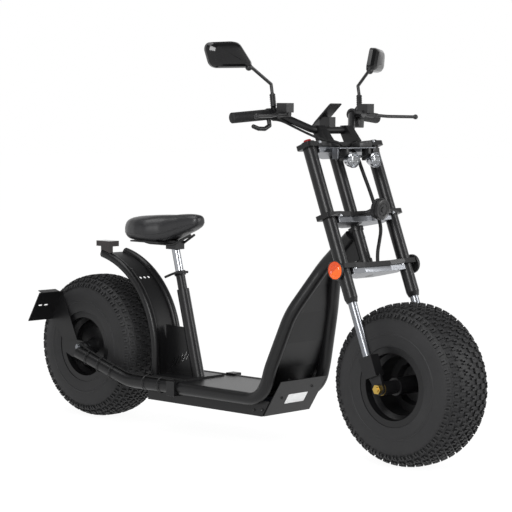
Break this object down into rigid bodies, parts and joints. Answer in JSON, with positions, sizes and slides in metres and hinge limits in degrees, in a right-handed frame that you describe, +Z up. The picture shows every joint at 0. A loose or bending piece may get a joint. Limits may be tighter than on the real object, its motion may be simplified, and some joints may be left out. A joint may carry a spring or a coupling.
{
  "type": "electric scooter",
  "caption": "Fat-tyre electric scooter: tube frame with a low deck, saddle on a post, twin-leg telescopic fork, hub motor, headlights, mirrors and side stand.",
  "frame": {"origin": "on the floor, at the middle of the footprint, half the wheelbase ahead of the rear axle", "axes": "+X forward, +Y to the rider's left, +Z up"},
  "size_m": [1.8206, 0.8024, 1.242],
  "materials": {
    "painted_steel": "satin black paint",
    "polished_steel": "brushed",
    "zinc_plate": "yellow zinc",
    "chrome": "bright",
    "alloy": "satin",
    "black_alloy": "black anodised",
    "tyre_rubber": "matt",
    "grip_rubber": "matt",
    "saddle_vinyl": "grained vinyl",
    "black_plastic": "fine grain",
    "amber_lens": "clear amber",
    "lamp_plastic": "gloss",
    "battery_case": "gloss"
  },
  "bodies": {
    "frame": {"battery_block": "battery_case", "battery_box": "painted_steel", "box_front_cover": "painted_steel", "cross_members": "painted_steel", "deck_front": "painted_steel", "deck_rear": "painted_steel", "dropouts": "painted_steel", "fender_sheet": "painted_steel", "frame_tube_left": "painted_steel", "frame_tube_right": "painted_steel", "head_tube": "painted_steel", "hoop_tubes": "painted_steel", "legshield_panel": "painted_steel", "plate_bracket": "painted_steel", "rear_axle": "polished_steel", "rear_caliper": "black_alloy", "seat_collar": "painted_steel", "seat_gusset": "painted_steel", "seat_tube": "painted_steel", "tail_lamp": "lamp_plastic", "tube_clamps": "painted_steel"},
    "front_wheel": {"front_tyre": "tyre_rubber", "front_rim": "painted_steel", "front_brake_disc": "polished_steel"},
    "rear_wheel": {"rear_tyre": "tyre_rubber", "rear_rim": "painted_steel", "hub_motor": "painted_steel", "rear_brake_disc": "polished_steel"},
    "side_stand": {"side_stand": "painted_steel"},
    "seat": {"seat_post": "chrome", "saddle_base": "black_plastic", "saddle": "saddle_vinyl"},
    "fork": {"yokes": "painted_steel", "yoke_plates": "alloy", "steering_stem": "painted_steel", "fork_tubes": "painted_steel", "stanchions": "polished_steel", "axle_brackets": "painted_steel", "front_axle": "zinc_plate", "front_caliper": "black_alloy", "side_reflectors": "amber_lens", "lamp_bracket": "painted_steel", "headlights": "chrome", "horn": "black_plastic", "bar_risers": "painted_steel", "handlebar": "painted_steel", "grips": "grip_rubber", "brake_levers": "black_alloy", "mirrors": "black_plastic", "display": "black_plastic"}
  },
  "joints": [
    {"name": "steering", "type": "hinge", "parent": "frame", "child": "fork", "pos_m": [0.46853, 0, 0.65043], "axis": [-0.3595, 0, 0.9331], "range_deg": [-35, 35]},
    {"name": "front_wheel_spin", "type": "hinge", "parent": "fork", "child": "front_wheel", "pos_m": [0.669, 0, 0.2413], "axis": [0, 1, 0], "continuous": true},
    {"name": "rear_wheel_spin", "type": "hinge", "parent": "frame", "child": "rear_wheel", "pos_m": [-0.669, 0, 0.2413], "axis": [0, 1, 0], "continuous": true},
    {"name": "seat_height", "type": "slide", "parent": "frame", "child": "seat", "axis": [-0.2538, 0, 0.9673], "range_m": [-0.06, 0.08]},
    {"name": "stand_fold", "type": "hinge", "parent": "frame", "child": "side_stand", "pos_m": [-0.729, 0.165, 0.2], "axis": [0, 1, 0], "range_deg": [0, 75]}
  ]
}
